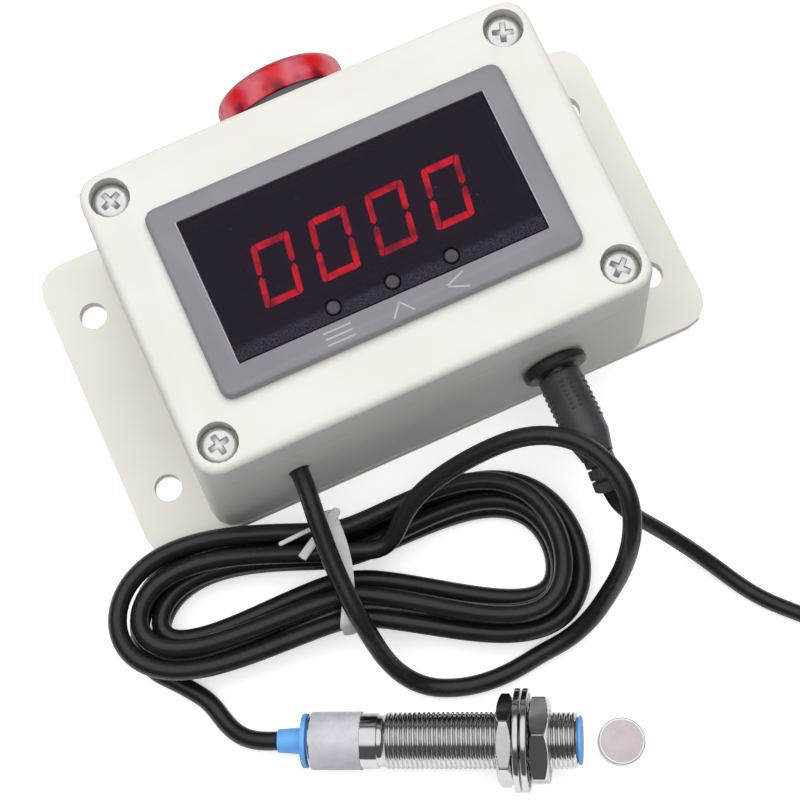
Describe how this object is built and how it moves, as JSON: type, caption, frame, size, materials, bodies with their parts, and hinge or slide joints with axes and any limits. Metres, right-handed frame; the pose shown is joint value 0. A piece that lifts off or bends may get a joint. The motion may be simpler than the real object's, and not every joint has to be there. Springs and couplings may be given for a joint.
{
  "type": "digital tachometer",
  "caption": "Flanged wall-mount tachometer with a red panel display, alarm beacon, threaded proximity sensor on a tied cord, target magnet and a power lead with wall adapter.",
  "frame": {"origin": "centre of the enclosure's mounting face, its flat back, which lies on the table", "axes": "+X along the enclosure's length, to the right of the display; +Z out of the display; the sensor cord and the power socket leave the -Y wall and the beacon stands on the +Y wall"},
  "size_m": [0.2154, 0.1765, 0.0503],
  "materials": {
    "cream_abs": "fine moulded satin",
    "seal_rubber": "matt",
    "zinc_steel": "bright plated",
    "brass": "plain",
    "bezel_grey": "satin",
    "smoked_window": "clear smoked gloss",
    "black_plastic": "satin",
    "segment_red": "lit red",
    "key_dark": "satin",
    "circuit_green": "solder resist",
    "terminal_green": "satin",
    "beacon_red": "translucent gloss",
    "beacon_grey": "satin",
    "circuit_white": "white solder resist",
    "cord_jacket": "satin",
    "adapter_black": "fine texture",
    "polished_chrome": "polished",
    "sensor_blue": "satin",
    "label_silver": "brushed film",
    "magnet_nickel": "bright nickel",
    "tie_white": "soft",
    "core_jacket": "satin"
  },
  "bodies": {
    "root": {"enclosure_base": "cream_abs", "enclosure_lid": "cream_abs", "lid_gasket": "seal_rubber", "beacon_seal": "seal_rubber", "lid_screw_1": "zinc_steel", "lid_screw_2": "zinc_steel", "lid_screw_3": "zinc_steel", "lid_screw_4": "zinc_steel", "meter_clip_left": "zinc_steel", "meter_clip_right": "zinc_steel", "jack_nut": "zinc_steel", "beacon_terminal_left": "brass", "beacon_terminal_right": "brass", "jack_pin": "brass", "jack_contact": "brass", "meter_case": "bezel_grey", "meter_lens": "smoked_window", "meter_rear_cover": "black_plastic", "digit_housing": "black_plastic", "sounder_disc": "black_plastic", "jack_body": "black_plastic", "beacon_nut": "black_plastic", "digit_segments": "segment_red", "display_board": "circuit_green", "sensor_board": "circuit_green", "terminal_block": "terminal_green", "beacon_lens": "beacon_red", "beacon_body": "beacon_grey", "beacon_board": "circuit_white", "sensor_cord_lead": "cord_jacket", "sensor_cord_hank": "cord_jacket", "sensor_cord_tail": "cord_jacket", "sensor_barrel": "polished_chrome", "sensor_tail_cap": "sensor_blue", "sensor_face_cap": "sensor_blue", "sensor_label": "label_silver", "target_magnet": "magnet_nickel", "cable_tie": "tie_white", "hank_tie": "tie_white", "sensor_cores": "core_jacket", "supply_cores": "core_jacket", "beacon_cores": "core_jacket"},
    "key_set": {"key_set": "key_dark"},
    "key_up": {"key_up": "key_dark"},
    "key_shift": {"key_shift": "key_dark"},
    "rear_washer": {"rear_washer": "polished_chrome"},
    "rear_nut": {"rear_nut": "polished_chrome"},
    "front_washer": {"front_washer": "polished_chrome"},
    "front_nut": {"front_nut": "polished_chrome"},
    "power_lead": {"plug_grip": "cord_jacket", "plug_barrel": "zinc_steel", "plug_relief": "cord_jacket", "power_cord_lead": "cord_jacket", "power_cord_coil": "cord_jacket", "power_cord_tail": "cord_jacket", "adapter_shell": "adapter_black", "adapter_cover": "adapter_black", "adapter_blade_left": "zinc_steel", "adapter_blade_right": "zinc_steel", "adapter_gland": "cord_jacket"}
  },
  "joints": [
    {"name": "set_press", "type": "slide", "parent": "root", "child": "key_set", "axis": [0, 0, -1], "range_m": [0, 0.00035], "stiffness_N_per_m": 700, "springref_m": -0.0006},
    {"name": "up_press", "type": "slide", "parent": "root", "child": "key_up", "axis": [0, 0, -1], "range_m": [0, 0.00035], "stiffness_N_per_m": 700, "springref_m": -0.0006},
    {"name": "shift_press", "type": "slide", "parent": "root", "child": "key_shift", "axis": [0, 0, -1], "range_m": [0, 0.00035], "stiffness_N_per_m": 700, "springref_m": -0.0006},
    {"name": "rear_washer_slide", "type": "slide", "parent": "root", "child": "rear_washer", "axis": [-0.9017, 0.4186, -0.108], "range_m": [0, 0.02]},
    {"name": "rear_nut_turn", "type": "hinge", "parent": "rear_washer", "child": "rear_nut", "pos_m": [-0.0531, -0.0835, 0.0059], "axis": [-0.9017, 0.4186, -0.108], "range_deg": [0, 7210]},
    {"name": "front_washer_slide", "type": "slide", "parent": "root", "child": "front_washer", "axis": [0.9017, -0.4186, 0.108], "range_m": [0, 0.0055]},
    {"name": "front_nut_turn", "type": "hinge", "parent": "front_washer", "child": "front_nut", "pos_m": [-0.0531, -0.0835, 0.0059], "axis": [0.9017, -0.4186, 0.108], "range_deg": [0, 1990]},
    {"name": "plug_pull", "type": "slide", "parent": "root", "child": "power_lead", "axis": [0, -1, 0], "range_m": [0, 0.0105]}
  ],
  "couplings": [
    {"joint": "rear_nut_turn", "follows": "rear_washer_slide", "rad_per_m": 6283.2},
    {"joint": "front_nut_turn", "follows": "front_washer_slide", "rad_per_m": 6283.2}
  ]
}
